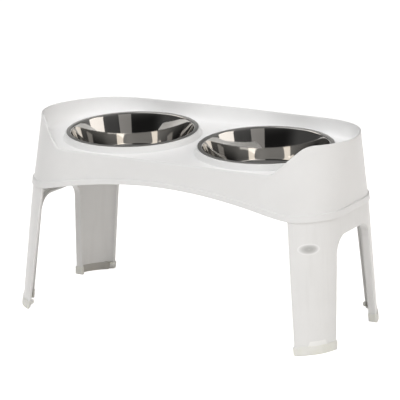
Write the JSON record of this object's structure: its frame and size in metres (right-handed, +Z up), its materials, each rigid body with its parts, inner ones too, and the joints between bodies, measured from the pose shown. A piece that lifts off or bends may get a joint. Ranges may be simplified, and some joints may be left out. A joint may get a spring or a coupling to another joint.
{
  "type": "dog feeder stand",
  "caption": "Raised pet feeder: a moulded tray with a high back and low front on two arched leg frames with rubber feet, holding lift-out steel bowls in raised collars.",
  "frame": {"origin": "middle of the stand's footprint, on the floor under the rubber feet", "axes": "+X along the tray towards its right end, +Y from the low front towards the high back, +Z up"},
  "size_m": [0.5496, 0.2686, 0.302],
  "materials": {
    "white_plastic": "semi-gloss moulded",
    "bowl_steel": "polished, with a satin rim",
    "foot_rubber": "matt, slightly see-through"
  },
  "bodies": {
    "tray": {"deck": "white_plastic"},
    "bowl_left": {"left_bowl": "bowl_steel"},
    "bowl_right": {"right_bowl": "bowl_steel"},
    "legs_left": {"left_leg_frame": "white_plastic", "left_front_foot": "foot_rubber", "left_rear_foot": "foot_rubber"},
    "legs_right": {"right_leg_frame": "white_plastic", "right_front_foot": "foot_rubber", "right_rear_foot": "foot_rubber"}
  },
  "joints": [
    {"name": "left_bowl_lift", "type": "slide", "parent": "tray", "child": "bowl_left", "axis": [0, -0.0645, 0.9979], "range_m": [0, 0.1]},
    {"name": "right_bowl_lift", "type": "slide", "parent": "tray", "child": "bowl_right", "axis": [0, -0.0645, 0.9979], "range_m": [0, 0.1]},
    {"name": "left_leg_release", "type": "slide", "parent": "tray", "child": "legs_left", "axis": [0, 0, -1], "range_m": [0, 0.06]},
    {"name": "right_leg_release", "type": "slide", "parent": "tray", "child": "legs_right", "axis": [0, 0, -1], "range_m": [0, 0.06]}
  ]
}
